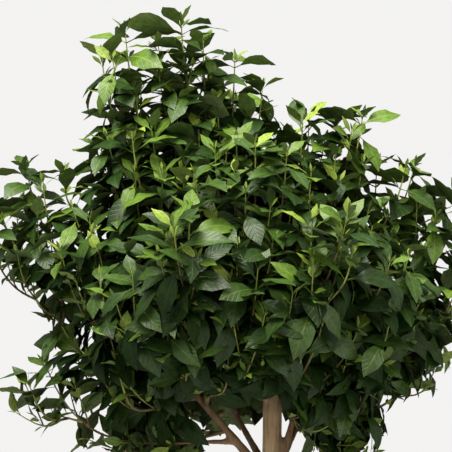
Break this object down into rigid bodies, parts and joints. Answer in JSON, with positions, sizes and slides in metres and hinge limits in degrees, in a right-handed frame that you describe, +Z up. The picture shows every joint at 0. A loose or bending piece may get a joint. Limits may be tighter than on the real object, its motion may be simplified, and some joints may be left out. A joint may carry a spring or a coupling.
{
  "type": "standard lollipop topiary shrub in a pot",
  "caption": "Evergreen patio shrub trained as a standard: a loose rounded head of glossy leaves on one bare stem, in a plain round clay pot.",
  "frame": {"origin": "centre of the pot's flat underside, on the surface that the pot stands on", "axes": "+Z up along the stem, -Y towards the front of the plant, +X to the right seen from the front"},
  "size_m": [0.5977, 0.5045, 1.36],
  "materials": {
    "clay": "matte",
    "potting_soil": "matte",
    "bark": "matte",
    "foliage": "satin"
  },
  "bodies": {
    "root": {"pot": "clay", "potting_soil": "potting_soil", "trunk": "bark", "bough_left": "bark", "bough_right": "bark", "bough_back_right": "bark", "bough_back_left": "bark", "bough_low_left": "bark", "bough_front": "bark", "bough_inner_right": "bark", "bough_leader_left": "bark", "bough_leader_right": "bark", "bough_leader_back": "bark", "crown_top_left": "foliage", "crown_top_centre": "foliage", "crown_top_right": "foliage", "crown_top_front": "foliage", "crown_top_back": "foliage", "crown_left": "foliage", "crown_front_left": "foliage", "crown_front": "foliage", "crown_front_right": "foliage", "crown_right": "foliage", "crown_back_right": "foliage", "crown_back": "foliage", "crown_back_left": "foliage", "crown_low_left": "foliage", "crown_low_front": "foliage", "crown_low_front_right": "foliage", "crown_low_right": "foliage", "crown_low_back_right": "foliage", "crown_low_back_left": "foliage", "spray_top_tall": "foliage", "spray_top_left": "foliage", "spray_top_middle": "foliage", "spray_top_right": "foliage", "spray_right_high": "foliage", "spray_right": "foliage", "spray_right_side": "foliage", "spray_right_low": "foliage", "spray_low_right": "foliage", "spray_left_high": "foliage", "spray_left": "foliage", "spray_left_low": "foliage", "spray_low_left": "foliage", "spray_low_fringe": "foliage", "spray_back_high": "foliage", "spray_back_right": "foliage", "spray_back_left": "foliage", "spray_front_left": "foliage", "spray_front_right": "foliage"}
  },
  "joints": []
}
